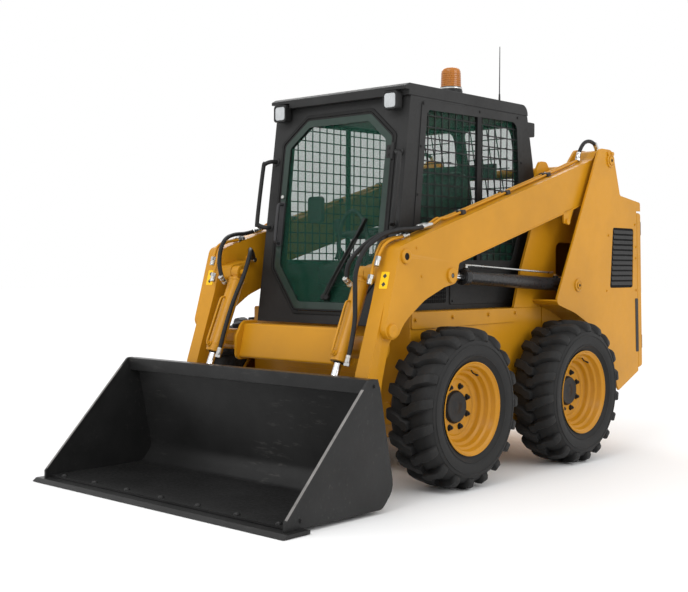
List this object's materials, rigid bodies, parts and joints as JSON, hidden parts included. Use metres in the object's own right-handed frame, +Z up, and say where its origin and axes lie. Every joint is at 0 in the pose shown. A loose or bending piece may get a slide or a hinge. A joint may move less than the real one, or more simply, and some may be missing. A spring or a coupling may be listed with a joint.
{
  "type": "skid steer loader",
  "caption": "Compact wheeled loader with an enclosed cab, radius-lift arms on rear uprights, hydraulic cylinders and a front bucket that lifts and tips.",
  "frame": {"origin": "on the ground, below the middle of the outline from bucket edge to rear door", "axes": "+Z up; the machine faces -Y, and its left side is +X"},
  "size_m": [1.754, 3.231, 2.306],
  "materials": {
    "machine_paint": "semi-gloss yellow-orange machine enamel",
    "charcoal_paint": "satin charcoal powder coat",
    "bucket_paint": "satin charcoal paint with scuffed edges",
    "black_paint": "satin black paint",
    "tyre_rubber": "matt black tyre rubber",
    "chrome_rod": "hard chrome cylinder rod",
    "grey_steel": "grey cast iron",
    "tinted_glass": "grey-green tinted safety glass",
    "amber_lens": "amber beacon lens on a black base",
    "seat_vinyl": "black seat vinyl",
    "hose_rubber": "black hydraulic hose"
  },
  "bodies": {
    "chassis": {"antenna": "black_paint", "axle_front_left": "black_paint", "axle_front_right": "black_paint", "axle_rear_left": "black_paint", "axle_rear_right": "black_paint", "beacon": "amber_lens", "cab_frame": "charcoal_paint", "cab_roof": "charcoal_paint", "chassis_tub": "machine_paint", "console_left": "charcoal_paint", "console_right": "charcoal_paint", "cross_tube": "machine_paint", "engine_block": "grey_steel", "engine_shroud": "charcoal_paint", "front_lamp_left": "black_paint", "front_lamp_right": "black_paint", "grab_rail_left": "black_paint", "grab_rail_right": "black_paint", "rear_lamp": "black_paint", "rear_window": "tinted_glass", "seat": "seat_vinyl", "seat_base": "charcoal_paint", "side_grille_left": "black_paint", "side_grille_right": "black_paint", "side_window_left": "tinted_glass", "side_window_right": "tinted_glass", "upright_left": "machine_paint", "upright_right": "machine_paint"},
    "front_door": {"front_door": "black_paint", "door_glass": "tinted_glass"},
    "rear_door": {"rear_door": "machine_paint"},
    "engine_hood": {"engine_hood": "machine_paint"},
    "lap_bar": {"lap_bar": "black_paint"},
    "wheel_front_left": {"tyre_front_left": "tyre_rubber", "rim_front_left": "machine_paint"},
    "wheel_front_right": {"tyre_front_right": "tyre_rubber", "rim_front_right": "machine_paint"},
    "wheel_rear_left": {"tyre_rear_left": "tyre_rubber", "rim_rear_left": "machine_paint"},
    "wheel_rear_right": {"tyre_rear_right": "tyre_rubber", "rim_rear_right": "machine_paint"},
    "arms": {"loader_arms": "machine_paint", "elbow_hose_left": "hose_rubber", "elbow_hose_right": "hose_rubber", "leg_hose_left": "hose_rubber", "leg_hose_right": "hose_rubber", "tower_hose_left": "hose_rubber", "tower_hose_right": "hose_rubber"},
    "lift_barrel_left": {"lift_barrel_left": "black_paint"},
    "lift_rod_left": {"lift_rod_left": "chrome_rod"},
    "tilt_barrel_left": {"tilt_barrel_left": "machine_paint"},
    "tilt_rod_left": {"tilt_rod_left": "chrome_rod"},
    "lift_barrel_right": {"lift_barrel_right": "black_paint"},
    "lift_rod_right": {"lift_rod_right": "chrome_rod"},
    "tilt_barrel_right": {"tilt_barrel_right": "machine_paint"},
    "tilt_rod_right": {"tilt_rod_right": "chrome_rod"},
    "bucket": {"bucket": "bucket_paint", "coupler": "charcoal_paint", "cutting_edge": "bucket_paint"}
  },
  "joints": [
    {"name": "wheel_front_left_spin", "type": "hinge", "parent": "chassis", "child": "wheel_front_left", "pos_m": [0.702, -0.291, 0.388], "axis": [1, 0, 0], "continuous": true},
    {"name": "wheel_front_right_spin", "type": "hinge", "parent": "chassis", "child": "wheel_front_right", "pos_m": [-0.702, -0.291, 0.388], "axis": [1, 0, 0], "continuous": true},
    {"name": "wheel_rear_left_spin", "type": "hinge", "parent": "chassis", "child": "wheel_rear_left", "pos_m": [0.702, 0.733, 0.388], "axis": [1, 0, 0], "continuous": true},
    {"name": "wheel_rear_right_spin", "type": "hinge", "parent": "chassis", "child": "wheel_rear_right", "pos_m": [-0.702, 0.733, 0.388], "axis": [1, 0, 0], "continuous": true},
    {"name": "arm_lift", "type": "hinge", "parent": "chassis", "child": "arms", "pos_m": [0, 1.19, 1.68], "axis": [-1, 0, 0], "range_deg": [0, 64]},
    {"name": "bucket_tilt", "type": "hinge", "parent": "arms", "child": "bucket", "pos_m": [0, -0.834, 0.225], "axis": [1, 0, 0], "range_deg": [-18, 95]},
    {"name": "lift_barrel_left_swing", "type": "hinge", "parent": "chassis", "child": "lift_barrel_left", "pos_m": [0.609, 0.848, 0.965], "axis": [-1, 0, 0], "range_deg": [0, 60.1]},
    {"name": "lift_rod_left_slide", "type": "slide", "parent": "lift_barrel_left", "child": "lift_rod_left", "axis": [0, -0.9987, 0.0501], "range_m": [0, 0.835]},
    {"name": "tilt_barrel_left_swing", "type": "hinge", "parent": "arms", "child": "tilt_barrel_left", "pos_m": [0.437, -0.654, 1.03], "axis": [-1, 0, 0], "range_deg": [-0.6, 2.9]},
    {"name": "tilt_rod_left_slide", "type": "slide", "parent": "tilt_barrel_left", "child": "tilt_rod_left", "axis": [0, -0.3891, -0.9212], "range_m": [-0.061, 0.319]},
    {"name": "lift_barrel_right_swing", "type": "hinge", "parent": "chassis", "child": "lift_barrel_right", "pos_m": [-0.609, 0.848, 0.965], "axis": [-1, 0, 0], "range_deg": [0, 60.1]},
    {"name": "lift_rod_right_slide", "type": "slide", "parent": "lift_barrel_right", "child": "lift_rod_right", "axis": [0, -0.9987, 0.0501], "range_m": [0, 0.835]},
    {"name": "tilt_barrel_right_swing", "type": "hinge", "parent": "arms", "child": "tilt_barrel_right", "pos_m": [-0.437, -0.654, 1.03], "axis": [-1, 0, 0], "range_deg": [-0.6, 2.9]},
    {"name": "tilt_rod_right_slide", "type": "slide", "parent": "tilt_barrel_right", "child": "tilt_rod_right", "axis": [0, -0.3891, -0.9212], "range_m": [-0.061, 0.319]},
    {"name": "front_door_hinge", "type": "hinge", "parent": "chassis", "child": "front_door", "pos_m": [0.384, -0.42326, 1.338], "axis": [0, 0.1289, 0.9917], "range_deg": [0, 90]},
    {"name": "rear_door_hinge", "type": "hinge", "parent": "chassis", "child": "rear_door", "pos_m": [0.69, 1.5961, 0.932], "axis": [0, 0.0515, -0.9987], "range_deg": [0, 100]},
    {"name": "engine_hood_hinge", "type": "hinge", "parent": "chassis", "child": "engine_hood", "pos_m": [0, 1.153, 1.42], "axis": [1, 0, 0], "range_deg": [0, 55]},
    {"name": "lap_bar_hinge", "type": "hinge", "parent": "chassis", "child": "lap_bar", "pos_m": [0, 0.471, 1.29], "axis": [-1, 0, 0], "range_deg": [0, 75]}
  ],
  "couplings": [
    {"joint": "lift_barrel_left_swing", "follows": "arm_lift", "ratio": 0.9377},
    {"joint": "lift_rod_left_slide", "follows": "arm_lift", "m_per_rad": 0.7465},
    {"joint": "tilt_barrel_left_swing", "follows": "bucket_tilt", "ratio": 0.03},
    {"joint": "tilt_rod_left_slide", "follows": "bucket_tilt", "m_per_rad": 0.192},
    {"joint": "lift_barrel_right_swing", "follows": "arm_lift", "ratio": 0.9377},
    {"joint": "lift_rod_right_slide", "follows": "arm_lift", "m_per_rad": 0.7465},
    {"joint": "tilt_barrel_right_swing", "follows": "bucket_tilt", "ratio": 0.03},
    {"joint": "tilt_rod_right_slide", "follows": "bucket_tilt", "m_per_rad": 0.192}
  ]
}
